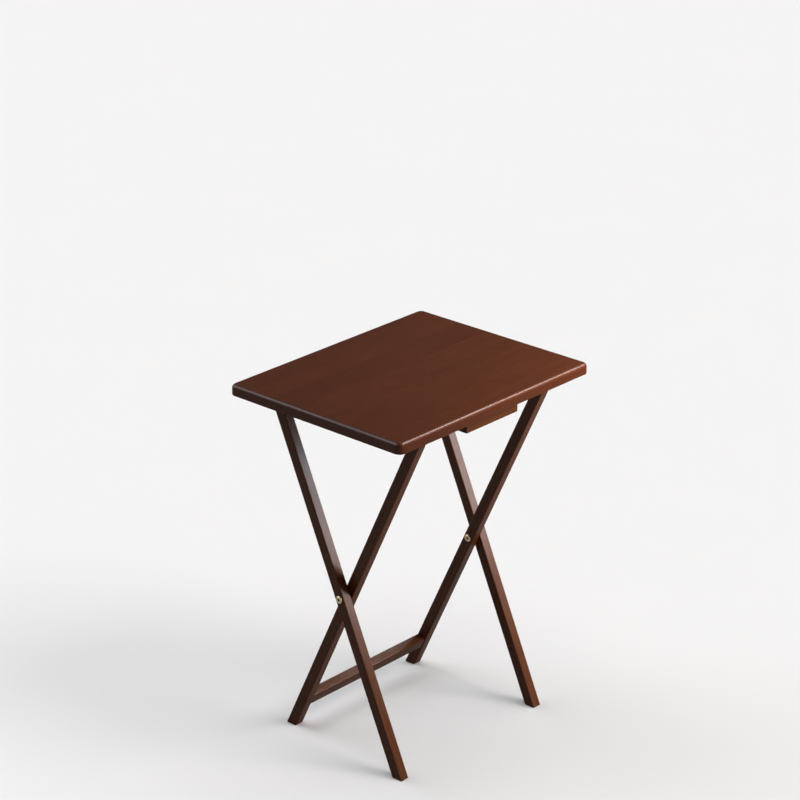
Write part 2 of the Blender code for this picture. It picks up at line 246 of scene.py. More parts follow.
# Facets along each rounding: a corner of the top, its two rims, a leg's end, the catch's notch,
# the edges of the frame's wood and of the cleats, the catch's arrises, the small arrises, and a
# bolt head's edge and its lip
CORNER_STEPS = 18
UPPER_RIM_STEPS = 9
LOWER_RIM_STEPS = 5
LEG_END_STEPS = 28
NOTCH_STEPS = 24
EDGE_STEPS = 5
BLOCK_EDGE_STEPS = 4
CATCH_ARRIS_STEPS = 3
ARRIS_STEPS = 2
HEAD_ROUND_STEPS = 8
LIP_STEPS = 3

# Angles above which an edge is shaded sharp, above which it is rounded, and above which it is
# rounded at the catch block's ends
SHARP_ANGLE = radians(32)
EASE_ANGLE = radians(40)
CATCH_END_ANGLE = radians(60)

# Distance below which two places are the same
SAME_PLACE = 1e-6

SIDES = (("left", -1), ("right", 1))


def corners(node):
    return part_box(node)


def middle(node):
    low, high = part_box(node)
    return (low + high) / 2


def size(node):
    low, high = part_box(node)
    return high - low


JOINTS = {joint["name"]: Vector(joint["pos_m"]) for joint in frame["joints"]}
HINGE = JOINTS["tray_lift"]
PIVOT = JOINTS["leg_fold"]
RAIL = middle("top_rail")
OUTER_LEAN = -atan2(HINGE.y - PIVOT.y, HINGE.z - PIVOT.z)
INNER_LEAN = -atan2(RAIL.y - PIVOT.y, RAIL.z - PIVOT.z)
PIVOT_TO_END = (HINGE - PIVOT).length
LEG_WIDTH = size("outer_leg_right").x
OUTER_LEG_X = middle("outer_leg_right").x
INNER_LEG_X = middle("inner_leg_right").x
INNER_FACE = INNER_LEG_X - LEG_WIDTH / 2
RAIL_RADIUS = size("top_rail").z / 2


# Shapes


def prism(outline, low, high, along="X"):
    """A closed outline of points, extruded from low to high along one axis."""
    shape = bmesh.new()
    corner = {"X": lambda a, b: (low, a, b), "Z": lambda a, b: (a, b, low)}[along]
    travel = {"X": (high - low, 0, 0), "Z": (0, 0, high - low)}[along]
    base = shape.faces.new([shape.verts.new(corner(a, b)) for a, b in outline])
    raised = bmesh.ops.extrude_face_region(shape, geom=[base])["geom"]
    moved = [item for item in raised if isinstance(item, bmesh.types.BMVert)]
    bmesh.ops.translate(shape, verts=moved, vec=travel)
    bmesh.ops.recalc_face_normals(shape, faces=shape.faces)
    return shape


def turned(profile, steps=ROUND_STEPS, closed=False):
    """A solid of revolution about X from (radius, x) points. A closed profile makes a ring."""
    shape = bmesh.new()
    points = [shape.verts.new((x, radius, 0)) for radius, x in profile]
    pairs = list(zip(points, points[1:]))
    if closed:
        pairs.append((points[-1], points[0]))
    edges = [shape.edges.new(pair) for pair in pairs]
    bmesh.ops.spin(shape, geom=points + edges, cent=(0, 0, 0), axis=(1, 0, 0), angle=2 * pi, steps=steps)
    bmesh.ops.remove_doubles(shape, verts=shape.verts, dist=SAME_PLACE)
    bmesh.ops.recalc_face_normals(shape, faces=shape.faces)
    return shape


def rod(radius, end_a, end_b, steps=ROUND_STEPS):
    low, high = sorted((end_a, end_b))
    return turned([(0, low), (radius, low), (radius, high), (0, high)], steps)


def arc(centre, radius, start, end, steps):
    """Points on an arc, both ends included, with angles in radians."""
    angles = [start + (end - start) * step / steps for step in range(steps + 1)]
    return [(centre[0] + radius * cos(angle), centre[1] + radius * sin(angle)) for angle in angles]


def ease(shape, width, segments, chosen=None):
    """Rounds the shape's sharp edges, or the chosen ones."""
    edges = chosen or [edge for edge in shape.edges if edge.calc_face_angle(0) > EASE_ANGLE]
    bmesh.ops.bevel(
        shape, geom=edges, offset=width, segments=segments, profile=0.5,
        affect="EDGES", clamp_overlap=True,
    )
    return shape


def facing(side):
    """The turn that points a piece's own +X outwards on the left (-1) or the right (+1) side."""
    return Matrix.Identity(4) if side > 0 else Matrix.Rotation(pi, 4, "Z")


def at(place):
    return Matrix.Translation(place)


def axes(along, across, place):
    """The matrix of a piece whose own X runs along its grain and whose own Y runs across it."""
    third = along.cross(across)
    turn = Matrix((along, across, third)).transposed().to_4x4()
    return Matrix.Translation(place) @ turn


def linked(name, shape, matrix):
    mesh = bpy.data.meshes.new(name)
    shape.to_mesh(mesh)
    shape.free()
    made = bpy.data.objects.new(name, mesh)
    bpy.context.scene.collection.objects.link(made)
    made.matrix_world = matrix
    return made


def fine_piece(node, shape, finish, matrix, cutters=()):
    """The finer piece that stands for a CAD node: cut, smoothed, and riding on the node's body."""
    piece = linked(f"fine_{node}", shape, matrix)
    tools = []
    for index, (cutter_shape, cutter_matrix) in enumerate(cutters):
        cutter = linked(f"cutter_{node}_{index}", cutter_shape, cutter_matrix)
        boolean = piece.modifiers.new(f"cut_{index}", "BOOLEAN")
        boolean.operation = "DIFFERENCE"
        boolean.solver = "EXACT"
        boolean.object = cutter
        tools.append(cutter)
    if tools:
        bpy.context.view_layer.update()
        graph = bpy.context.evaluated_depsgraph_get()
        whole = bpy.data.meshes.new_from_object(piece.evaluated_get(graph))
        piece.modifiers.clear()
        piece.data = whole
        for cutter in tools:
            bpy.data.objects.remove(cutter)
    piece.data.name = piece.name
    piece.data.shade_smooth()
    piece.data.set_sharp_from_angle(angle=SHARP_ANGLE)
    flat = piece.modifiers.new("flat_faces", "WEIGHTED_NORMAL")
    flat.keep_sharp = True
    flat.weight = 100
    material, slot = finish
    piece.data.materials.clear()
    piece.data.materials.append(material)
    places = [vertex.co for vertex in piece.data.vertices]
    low = Vector(min(place[axis] for place in places) for axis in range(3))
    high = Vector(max(place[axis] for place in places) for axis in range(3))
    count = len([other for other in bpy.data.objects if other.name.startswith("fine_")])
    piece["grain_offset"] = [step * count for step in GRAIN_STEP]
    piece["box_middle"] = list((low + high) / 2)
    piece["box_half"] = list((high - low) / 2)
    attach(piece, frame["nodes"][node]["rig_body"])
    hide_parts(node)
    return piece


# Materials


def shader_node(tree, kind, inputs=None, **settings):
    """A shader node, with its settings, its input values and its incoming links."""
    made = tree.nodes.new("ShaderNode" + kind)
    for name, value in settings.items():
        setattr(made, name, value)
    for name, value in (inputs or {}).items():
        if isinstance(value, bpy.types.NodeSocket):
            tree.links.new(value, made.inputs[name])
        else:
            made.inputs[name].default_value = value
    return made


def maths(tree, operation, a, b=0.0, c=0.0, clamp=False):
    made = shader_node(tree, "Math", {0: a, 1: b, 2: c}, operation=operation, use_clamp=clamp)
    return made.outputs[0]


def vector(tree, operation, a, b=(0, 0, 0)):
    return shader_node(tree, "VectorMath", {0: a, 1: b}, operation=operation).outputs[0]


def blend(tree, kind, share, a, b):
    """Two colours mixed by a share, with one of the mix node's blend types."""
    made = shader_node(tree, "Mix", data_type="RGBA", blend_type=kind)
    for socket, value in ((made.inputs[0], share), (made.inputs[6], a), (made.inputs[7], b)):
        if isinstance(value, bpy.types.NodeSocket):
            tree.links.new(value, socket)
        elif isinstance(value, tuple):
            socket.default_value = (*value, 1.0)
        else:
            socket.default_value = value
    return made.outputs[2]


def span(tree, value, low, high, to_low=0.0, to_high=1.0, smooth=True):
    """The value mapped from one range to another, and held inside it."""
    made = shader_node(
        tree, "MapRange",
        {0: value, 1: low, 2: high, 3: to_low, 4: to_high},
        interpolation_type="SMOOTHSTEP" if smooth else "LINEAR",
    )
    return made.outputs[0]


def noise(tree, place, scale, detail=3.0, roughness=0.5, distortion=0.0):
    made = shader_node(
        tree, "TexNoise",
        {"Vector": place, "Scale": scale, "Detail": detail, "Roughness": roughness,
         "Distortion": distortion},
    )
    return made.outputs[0]


def own_property(tree, name):
    made = shader_node(tree, "Attribute", attribute_type="OBJECT", attribute_name=name)
    return made.outputs["Vector"]


def new_material(name):
    material = bpy.data.materials.new(name)
    material.use_nodes = True
    tree = material.node_tree
    return material, tree, tree.nodes["Principled BSDF"]


def edge_distance(tree, place):
    """How far a point of a box-like piece is from the nearest edge, in metres."""
    offset = vector(tree, "SUBTRACT", place, own_property(tree, "box_middle"))
    inside = vector(tree, "SUBTRACT", own_property(tree, "box_half"), vector(tree, "ABSOLUTE", offset))
    parts = shader_node(tree, "SeparateXYZ", {0: inside}).outputs
    pairs = [maths(tree, "MAXIMUM", parts[a], parts[b]) for a, b in ((0, 1), (1, 2), (0, 2))]
    return maths(tree, "MINIMUM", maths(tree, "MINIMUM", pairs[0], pairs[1]), pairs[2])


def scaled(tree, place, scale):
    return vector(tree, "MULTIPLY", place, scale)


def link_surface(tree, shader, colour, rough, bump):
    for name, value in (("Base Color", colour), ("Roughness", rough), ("Normal", bump)):
        tree.links.new(value, shader.inputs[name])


def boards(tree, place, spot):
    """The boards of the top: each one's tone and shifted grain, and the seams between them."""
    parts = shader_node(tree, "SeparateXYZ", {0: place}).outputs
    row = maths(tree, "MULTIPLY_ADD", parts[1], 1 / STAVE_WIDTH, STAVE_START)
    index = maths(tree, "FLOOR", row)
    chance = shader_node(tree, "TexWhiteNoise", {"W": index}, noise_dimensions="1D").outputs
    spot = vector(tree, "ADD", spot, scaled(tree, chance[1], STAVE_SHIFT))
    to_seam = maths(tree, "PINGPONG", row, 0.5)
    return chance[0], spot, span(tree, to_seam, 0.0, SEAM_REACH, 1.0, 0.0)


def stain(tree, tone, dark, mid, light):
    """The stain's colour for a tone."""
    ramp = shader_node(tree, "ValToRGB", {0: tone})
    stops = ramp.color_ramp.elements
    stops[0].position = DARK_AT
    stops[0].color = (*dark, 1.0)
    stops[1].position = LIGHT_AT
    stops[1].color = (*light, 1.0)
    between = stops.new(MID_AT)
    between.color = (*mid, 1.0)
    return ramp.outputs[0]


def stained_wood(name, dark, mid, light, worn, roughness, specular, staves=False):
    """Dark stained wood under semi-gloss lacquer, with its grain along the piece's own X."""
    material, tree, shader = new_material(name)
    place = shader_node(tree, "TexCoord").outputs["Object"]
    spot = vector(tree, "ADD", place, own_property(tree, "grain_offset"))
    if staves:
        board_tone, spot, seam = boards(tree, place, spot)

    # Slow bends of the grain, then growth rings round a heart that lies outside the piece
    bend = shader_node(tree, "TexNoise", {"Vector": spot, "Scale": BEND_SCALE, "Detail": 2.0}).outputs[1]
    bend = scaled(tree, vector(tree, "SUBTRACT", bend, (0.5, 0.5, 0.5)), BEND_REACH)
    grain = vector(tree, "ADD", spot, bend)
    heart = scaled(tree, vector(tree, "ADD", grain, HEART_OFFSET), HEART_STRETCH)
    rings = shader_node(
        tree, "TexWave",
        {"Vector": heart, "Scale": RING_SCALE, "Distortion": 2.4, "Detail": 3.0, "Detail Scale": 1.6},
        wave_type="RINGS", rings_direction="X", wave_profile="SAW",
    ).outputs[1]

    # Fibres, fine fibres and open pores, all drawn out along the grain
    fibre = noise(tree, scaled(tree, grain, FIBRE_SCALE), 1.0, detail=4.0, roughness=0.62)
    fine = noise(tree, scaled(tree, grain, FINE_SCALE), 1.0, detail=3.0, roughness=0.6)
    pore_noise = noise(tree, scaled(tree, grain, PORE_SCALE), 1.0, detail=1.0, roughness=0.4)
    pores = span(tree, pore_noise, *PORE_RANGE)
    cloud = noise(tree, scaled(tree, spot, CLOUD_SCALE), 1.0, detail=3.0, roughness=0.55)

    tone = maths(tree, "MULTIPLY_ADD", rings, RING_TONE, BASE_TONE)
    tone = maths(tree, "MULTIPLY_ADD", fibre, FIBRE_TONE, tone)
    tone = maths(tree, "MULTIPLY_ADD", fine, FINE_TONE, tone)
    tone = maths(tree, "MULTIPLY_ADD", cloud, CLOUD_TONE, tone)
    if staves:
        tone = maths(tree, "MULTIPLY_ADD", board_tone, BOARD_TONE, tone)
        tone = maths(tree, "SUBTRACT", tone, BOARD_TONE / 2)
    colour = stain(tree, tone, dark, mid, light)
    colour = blend(tree, "MULTIPLY", maths(tree, "MULTIPLY", pores, PORE_SHARE), colour, PORE_TINT)
    if staves:
        colour = blend(tree, "MULTIPLY", maths(tree, "MULTIPLY", seam, SEAM_SHARE), colour, SEAM_TINT)

    # End grain takes more stain: it is where the surface faces along the piece's own X
    normal = shader_node(tree, "TexCoord").outputs["Normal"]
    turn = maths(tree, "ABSOLUTE", shader_node(tree, "SeparateXYZ", {0: normal}).outputs[0])
    end = span(tree, turn, *END_RANGE)
    speckle = noise(tree, spot, SPECKLE_SCALE, detail=2.0, roughness=0.6)
    end_tone = maths(tree, "MULTIPLY", end, maths(tree, "MULTIPLY_ADD", speckle, END_SPECKLE, END_SHARE))
    colour = blend(tree, "MULTIPLY", end_tone, colour, END_TINT)

    # Lacquer rubbed thin along the edges, in patches
    patch = noise(tree, scaled(tree, spot, RUB_SCALE), 1.0, detail=4.0, roughness=0.65)
    reach = maths(tree, "MULTIPLY_ADD", patch, RUB_REACH, edge_distance(tree, place))
    wear = span(tree, reach, *RUB_RANGE, 1.0, 0.0)
    colour = blend(tree, "MIX", maths(tree, "MULTIPLY", wear, RUB_SHARE), colour, worn)

    smudge = noise(tree, spot, SMUDGE_SCALE, detail=4.0, roughness=0.6, distortion=0.6)
    rough = maths(tree, "MULTIPLY_ADD", smudge, SMUDGE_ROUGH, roughness - SMUDGE_ROUGH / 2)
    rough = maths(tree, "SUBTRACT", rough, FIBRE_ROUGH / 2)
    rough = maths(tree, "MULTIPLY_ADD", fibre, FIBRE_ROUGH, rough)
    rough = maths(tree, "MULTIPLY_ADD", pores, PORE_ROUGH, rough)
    rough = maths(tree, "MULTIPLY_ADD", wear, RUB_ROUGH, rough)
    rough = maths(tree, "MULTIPLY_ADD", end, END_ROUGH, rough, clamp=True)

    height = maths(tree, "MULTIPLY", fibre, FIBRE_HEIGHT)
    height = maths(tree, "MULTIPLY_ADD", fine, FINE_HEIGHT, height)
    height = maths(tree, "MULTIPLY_ADD", pores, PORE_HEIGHT, height)
    if staves:
        height = maths(tree, "MULTIPLY_ADD", seam, SEAM_HEIGHT, height)
    wave = noise(tree, scaled(tree, spot, WAVE_STRETCH), WAVE_SCALE, detail=2.0, roughness=0.5)
    slow = shader_node(tree, "Bump", {"Height": wave, **WAVE_BUMP})
    bump = shader_node(tree, "Bump", {"Height": height, "Normal": slow.outputs[0], **GRAIN_BUMP})
    link_surface(tree, shader, colour, rough, bump.outputs[0])
    shader.inputs["IOR"].default_value = WOOD_IOR
    shader.inputs["Specular IOR Level"].default_value = specular
    return material


def plated_metal(name, colour, tarnish, roughness, recess=0.0):
    """Turned and plated metal: fine lines round the piece's own X, and painted shade darkening its
    recess.
    """
    material, tree, shader = new_material(name)
    place = shader_node(tree, "TexCoord").outputs["Object"]
    spot = vector(tree, "ADD", place, own_property(tree, "grain_offset"))
    lines = shader_node(
        tree, "TexWave",
        {"Vector": place, "Scale": LINE_SCALE, "Distortion": 1.5, "Detail": 2.0, "Detail Scale": 2.0},
        wave_type="RINGS", rings_direction="X", wave_profile="SIN",
    ).outputs[1]
    dull = noise(tree, spot, DULL_SCALE, detail=4.0, roughness=0.6)
    spots = span(tree, dull, *DULL_RANGE)
    tint = blend(tree, "MIX", maths(tree, "MULTIPLY", spots, DULL_SHARE), colour, tarnish)
    tint = blend(tree, "MULTIPLY", maths(tree, "MULTIPLY", lines, LINE_SHARE), tint, LINE_TINT)
    rough = maths(tree, "MULTIPLY_ADD", dull, DULL_ROUGH, roughness - DULL_ROUGH / 2)
    rough = maths(tree, "MULTIPLY_ADD", lines, LINE_ROUGH, rough, clamp=True)
    # Painted shade: everything within the recess's radius of the piece's own X is darkened, as if shaded
    # in the recess
    if recess:
        across = scaled(tree, place, (0.0, 1.0, 1.0))
        reach = shader_node(tree, "VectorMath", {0: across}, operation="LENGTH").outputs["Value"]
        soft_edge = [recess * share for share in RECESS_SHADE_RANGE]
        recess_shade = span(tree, reach, *soft_edge, 1.0, 0.0)
        tint = blend(tree, "MULTIPLY", recess_shade, tint, RECESS_SHADE_TINT)
    height = maths(tree, "MULTIPLY_ADD", lines, LINE_HEIGHT, maths(tree, "MULTIPLY", dull, DULL_HEIGHT))
    bump = shader_node(tree, "Bump", {"Height": height, **METAL_BUMP})
    link_surface(tree, shader, tint, rough, bump.outputs[0])
    shader.inputs["Metallic"].default_value = 1.0
    return material


TOP_FINISH = (
    stained_wood(
        "lacquered_top",
        dark=(0.063, 0.0162, 0.0050),
        mid=(0.081, 0.0212, 0.0066),
        light=(0.104, 0.0282, 0.0088),
        worn=(0.110, 0.036, 0.0150),
        roughness=0.39,
        specular=0.25,
        staves=True,
    ),
    "top_wood",
)
FRAME_FINISH = (
    stained_wood(
        "lacquered_frame",
        dark=(0.047, 0.0148, 0.0050),
        mid=(0.066, 0.0212, 0.0074),
        light=(0.093, 0.0320, 0.0115),
        worn=(0.100, 0.036, 0.016),
        roughness=0.28,
        specular=0.18,
    ),
    "frame_wood",
)
DOWEL_FINISH = (
    stained_wood(
        "bare_dowel",
        dark=(0.36, 0.22, 0.11),
        mid=(0.50, 0.34, 0.19),
        light=(0.62, 0.45, 0.28),
        worn=(0.55, 0.40, 0.24),
        roughness=0.62,
        specular=0.4,
    ),
    "dowel_wood",
)
BRASS_FINISH = (
    plated_metal(
        "brass_plate",
        colour=(0.88, 0.74, 0.50),
        tarnish=(0.50, 0.39, 0.23),
        roughness=0.27,
        # Painted shade darkens the head within this radius of its axis
        recess=KEY_ACROSS_FLATS / 2,
    ),
    "brass_plate",
)
ZINC_FINISH = (
    plated_metal(
        "zinc_plate",
        colour=(0.62, 0.62, 0.63),
        tarnish=(0.40, 0.39, 0.37),
        roughness=0.34,
    ),
    "zinc_steel",
)


# Wooden pieces


def screw_sizes(node, margin=0.0):
    """The radius of a wood screw's head and of its shank, and its length."""
    radius = size(node).x / 2 + margin
    shank = SCREW_SHANK_RADIUS + margin
    length = size(node).z + margin
    return radius, shank, length


def screw_cutter(node):
    """The countersunk clearance hole of a wood screw, about its own X pointing down."""
    radius, shank, length = screw_sizes(node, GAP)
    profile = [(0, HOLE_RUNOUT), (radius, HOLE_RUNOUT), (radius, -GAP), (shank, -SCREW_HEAD_HEIGHT - GAP),
               (shank, -length), (0, -length)]
    return turned(profile, SMALL_STEPS), upright(node)


def upright(node):
    """The matrix of a piece that stands on its head's face at the node, with its own X down."""
    low = corners(node)[0]
    place = middle(node)
    return at((place.x, place.y, low.z)) @ Matrix.Rotation(pi / 2, 4, "Y")


def make_top():
    low, high = corners("tray_top")
    centre = (low + high) / 2
    half = (high - low) / 2
    x = half.x - TOP_CORNER_RADIUS
    y = half.y - TOP_CORNER_RADIUS
    outline = []
    for quarter, corner in enumerate(((x, y), (-x, y), (-x, -y), (x, -y))):
        start = quarter * pi / 2
        outline += arc(corner, TOP_CORNER_RADIUS, start, start + pi / 2, CORNER_STEPS)
    shape = prism(outline, -half.z, half.z, along="Z")
    upper = (half.z, TOP_UPPER_ROUND, UPPER_RIM_STEPS)
    lower = (-half.z, TOP_LOWER_ROUND, LOWER_RIM_STEPS)
    for rim, width, segments in (upper, lower):
        edges = [edge for edge in shape.edges if all(abs(v.co.z - rim) < SAME_PLACE for v in edge.verts)]
        ease(shape, width, segments, edges)
    screws = [name for name in frame["nodes"] if "screw" in name]
    fine_piece("tray_top", shape, TOP_FINISH, at(centre), [screw_cutter(name) for name in sorted(screws)])


def leg(node, lean, cutters):
    """A leg about the pivot: round at its upper end, and cut level with the floor below."""
    half = LEG_DEPTH / 2

    def floor_at(depth):
        return -(PIVOT.z + depth * sin(lean)) / cos(lean)

    outline = [
        (floor_at(-half), -half),
        (floor_at(half), half),
        *reversed(arc((PIVOT_TO_END, 0), half, -pi / 2, pi / 2, LEG_END_STEPS)),
    ]
    shape = ease(prism(outline, -LEG_WIDTH / 2, LEG_WIDTH / 2, along="Z"), EDGE_ROUND, EDGE_STEPS)
    place = PIVOT + Vector((middle(node).x, 0, 0))
    matrix = axes(Vector((0, -sin(lean), cos(lean))), Vector((0, cos(lean), sin(lean))), place)
    fine_piece(node, shape, FRAME_FINISH, matrix, cutters)


def make_outer_legs():
    for side_name, side in SIDES:
        leg_x = side * OUTER_LEG_X
        through = rod(SHAFT_RADIUS + BORE_CLEARANCE, -LEG_WIDTH, LEG_WIDTH, SMALL_STEPS)
        nut = f"hinge_nut_{side_name}"
        inner_face = side * (OUTER_LEG_X - LEG_WIDTH / 2)
        pocket_depth = size(nut).x + 2 * GAP
        pocket = rod(
            size(nut).z / 2 + GAP,
            inner_face - side * LEG_WIDTH / 2,
            inner_face + side * pocket_depth,
            SMALL_STEPS,
        )
        leg(f"outer_leg_{side_name}", OUTER_LEAN, [
            (through, at(PIVOT + Vector((leg_x, 0, 0)))),
            (through.copy(), at(HINGE + Vector((leg_x, 0, 0)))),
            (pocket, at(HINGE)),
        ])


def stretcher_pins(side_name):
    for level in ("lower", "upper"):
        yield f"stretcher_pin_{side_name}_{level}"


def make_inner_frame():
    pins = []
    for side_name, side in SIDES:
        leg_x = side * INNER_LEG_X
        bore = rod(SLEEVE_RADIUS + BORE_CLEARANCE, leg_x - LEG_WIDTH, leg_x + LEG_WIDTH, SMALL_STEPS)
        face = side * INNER_FACE
        socket = rod(RAIL_RADIUS + GAP, face - side * LEG_WIDTH, face + side * RAIL_SOCKET_DEPTH)
        cutters = [(bore, at(PIVOT)), (socket, at(Vector((0, RAIL.y, RAIL.z))))]
        for pin in stretcher_pins(side_name):
            centre = middle(pin)
            radius = size(pin).y / 2
            bored = radius + BORE_CLEARANCE
            place = at(Vector((0, centre.y, centre.z)))
            leg_end = face + side * (PIN_IN_LEG + GAP)
            hole = rod(bored, face - side * PIN_IN_LEG, leg_end, SMALL_STEPS)
            cutters.append((hole, place))
            stretcher_end = face - side * (PIN_IN_STRETCHER + GAP)
            hole = rod(bored, stretcher_end, face + side * PIN_IN_LEG, SMALL_STEPS)
            pins.append((hole, place))
            shape = rod(radius, -PIN_IN_STRETCHER, PIN_IN_LEG, SMALL_STEPS)
            shape = ease(shape, ARRIS, ARRIS_STEPS)
            fine_piece(pin, shape, DOWEL_FINISH, at((face, centre.y, centre.z)) @ facing(side))
        leg(f"inner_leg_{side_name}", INNER_LEAN, cutters)

    half_length = size("bottom_stretcher").x / 2
    half_t = STRETCHER_THICKNESS / 2
    half_h = STRETCHER_HEIGHT / 2
    outline = [(-half_t, -half_h), (half_t, -half_h), (half_t, half_h), (-half_t, half_h)]
    shape = ease(prism(outline, -half_length, half_length), EDGE_ROUND, EDGE_STEPS)
    turn = Matrix.Rotation(INNER_LEAN, 4, "X")
    fine_piece("bottom_stretcher", shape, FRAME_FINISH, at(middle("bottom_stretcher")) @ turn, pins)

    half_length = size("top_rail").x / 2
    shape = ease(rod(RAIL_RADIUS, -half_length, half_length), ARRIS, ARRIS_STEPS)
    fine_piece("top_rail", shape, FRAME_FINISH, at(RAIL))


def make_cleats():
    """The two blocks that hold the hinge bolts, with their lower corners cut off at a slope."""
    for side_name, side in SIDES:
        name = f"hinge_cleat_{side_name}"
        half = size(name) / 2
        slope = half.z
        outline = [(-half.y + slope, -half.z), (half.y - slope, -half.z), (half.y, -half.z + slope),
                   (half.y, half.z), (-half.y, half.z), (-half.y, -half.z + slope)]
        shape = ease(prism(outline, -half.x, half.x, along="Z"), BLOCK_EDGE_ROUND, BLOCK_EDGE_STEPS)
        matrix = axes(Vector((0, 1, 0)), Vector((0, 0, 1)), middle(name))
        bore = rod(SHAFT_RADIUS + BORE_CLEARANCE, -LEG_WIDTH, LEG_WIDTH, SMALL_STEPS)
        cutters = [(bore, at(HINGE + Vector((middle(name).x, 0, 0))))]
        for end in ("front", "back"):
            cutters.append(screw_cutter(f"cleat_screw_{side_name}_{end}"))
        fine_piece(name, shape, FRAME_FINISH, matrix, cutters)


def make_catch():
    """The block under the front edge. Its notch, open at the back, sits over the rail."""
    low, high = corners("catch_block")
    centre = (low + high) / 2
    seat = RAIL_RADIUS + GAP
    roof = (RAIL.y + CATCH_ROOF_PAST_RAIL, RAIL.z + seat)
    outline = [
        (RAIL.y - seat, low.z),
        (low.y, low.z),
        (low.y, high.z),
        (roof[0], high.z),
        roof,
        *arc((RAIL.y, RAIL.z), seat, pi / 2, pi, NOTCH_STEPS),
    ]
    local = [(y - centre.y, z - centre.z) for y, z in outline]
    half_length = (high.x - low.x) / 2
    shape = prism(local, -half_length, half_length)
    front, bottom = local[1]
    lower_front = [
        edge for edge in shape.edges
        if all(v.co.y < front + SAME_PLACE and v.co.z < bottom + SAME_PLACE for v in edge.verts)
    ]
    ends = [
        edge for edge in shape.edges
        if edge.calc_face_angle(0) > CATCH_END_ANGLE
        and abs(edge.verts[0].co.x - edge.verts[1].co.x) < SAME_PLACE
    ]
    ease(shape, ARRIS, CATCH_ARRIS_STEPS, lower_front + ends)
    cutters = [screw_cutter(f"catch_screw_{side_name}") for side_name, _ in SIDES]
    fine_piece("catch_block", shape, FRAME_FINISH, at(centre), cutters)


# Metal pieces


def threaded(radius, start, end):
    """Profile points of a thread's ridges from one x to another, for a turned piece."""
    turns = int(abs(end - start) / THREAD_PITCH)
    step = (end - start) / turns
    points = []
    for turn in range(turns):
        points.append((radius, start + step * turn))
        points.append((radius - THREAD_DEPTH, start + step * (turn + 0.5)))
    points.append((radius, end))
    return points


def key_cutter(matrix):
    """The hexagon recess in a bolt's head, whose face is at x = HEAD_HEIGHT."""
    across_corners = KEY_ACROSS_FLATS / 2 / cos(pi / 6)
    low = HEAD_HEIGHT - KEY_DEPTH
    high = HEAD_HEIGHT + KEY_DEPTH
    return rod(across_corners, low, high, HEXAGON_STEPS), matrix


def headed(node, matrix, shaft, finish):
    """A low rounded head with a hexagon recess, and a shaft. x = 0 is the face it bears on."""
    radius = size(node).z / 2
    rim = arc((radius - HEAD_ROUND, HEAD_HEIGHT - HEAD_ROUND), HEAD_ROUND, pi / 2, 0, HEAD_ROUND_STEPS)
    lip = arc((radius - METAL_ARRIS, GAP + METAL_ARRIS), METAL_ARRIS, 0, -pi / 2, LIP_STEPS)
    profile = [(0, HEAD_HEIGHT), *rim, *lip, *shaft]
    fine_piece(node, turned(profile), finish, matrix, [key_cutter(matrix)])


def make_pivots():
    for side_name, side in SIDES:
        outer_face = side * (OUTER_LEG_X + LEG_WIDTH / 2)
        bolt = f"pivot_bolt_{side_name}"
        matrix = at(PIVOT + Vector((outer_face, 0, 0))) @ facing(side)
        end = HEAD_HEIGHT - size(bolt).x
        plain = -LEG_WIDTH
        shaft = [(SHAFT_RADIUS, GAP), *threaded(SHAFT_RADIUS, plain, end + METAL_ARRIS),
                 (SHAFT_RADIUS - THREAD_DEPTH, end), (0, end)]
        headed(bolt, matrix, shaft, BRASS_FINISH)

        nut = f"pivot_nut_{side_name}"
        matrix = at(PIVOT + Vector((side * INNER_FACE, 0, 0))) @ facing(-side)
        sleeve_end = HEAD_HEIGHT - size(nut).x
        bore = SHAFT_RADIUS + BORE_CLEARANCE
        sleeve = [(SLEEVE_RADIUS, GAP), (SLEEVE_RADIUS, sleeve_end + METAL_ARRIS),
                  (SLEEVE_RADIUS - METAL_ARRIS, sleeve_end), (bore, sleeve_end),
                  (bore, -KEY_DEPTH / 2), (0, -KEY_DEPTH / 2)]
        headed(nut, matrix, sleeve, BRASS_FINISH)


def make_washers():
    names = [name for name in sorted(frame["nodes"]) if "washer" in name]
    for name in names:
        centre = middle(name)
        half = size(name).x / 2
        outer = size(name).z / 2
        inner = SHAFT_RADIUS + BORE_CLEARANCE
        profile = [(inner, -half), (outer - METAL_ARRIS, -half), (outer, -half + METAL_ARRIS),
                   (outer, half - METAL_ARRIS), (outer - METAL_ARRIS, half), (inner, half)]
        fine_piece(name, turned(profile, closed=True), ZINC_FINISH, at(centre))


def make_hinge_fasteners():
    for side_name, side in SIDES:
        bolt = f"hinge_bolt_{side_name}"
        low, high = corners(bolt)
        outer_face = (high.x if side > 0 else low.x) - side * HEAD_HEIGHT
        matrix = at(HINGE + Vector((outer_face, 0, 0))) @ facing(side)
        end = HEAD_HEIGHT - size(bolt).x
        thread_start = end + HINGE_THREAD_TURNS * THREAD_PITCH
        shaft = [(SHAFT_RADIUS, GAP), *threaded(SHAFT_RADIUS, thread_start, end + METAL_ARRIS),
                 (SHAFT_RADIUS - THREAD_DEPTH, end), (0, end)]
        headed(bolt, matrix, shaft, BRASS_FINISH)

        nut = f"hinge_nut_{side_name}"
        half = size(nut).x / 2
        radius = size(nut).z / 2
        hexagon = rod(radius, -half, half, HEXAGON_STEPS)
        bore = rod(SHAFT_RADIUS + BORE_CLEARANCE, -2 * half, 2 * half, SMALL_STEPS)
        shape = ease(hexagon, METAL_ARRIS, ARRIS_STEPS)
        fine_piece(nut, shape, ZINC_FINISH, at(middle(nut)), [(bore, at(middle(nut)))])


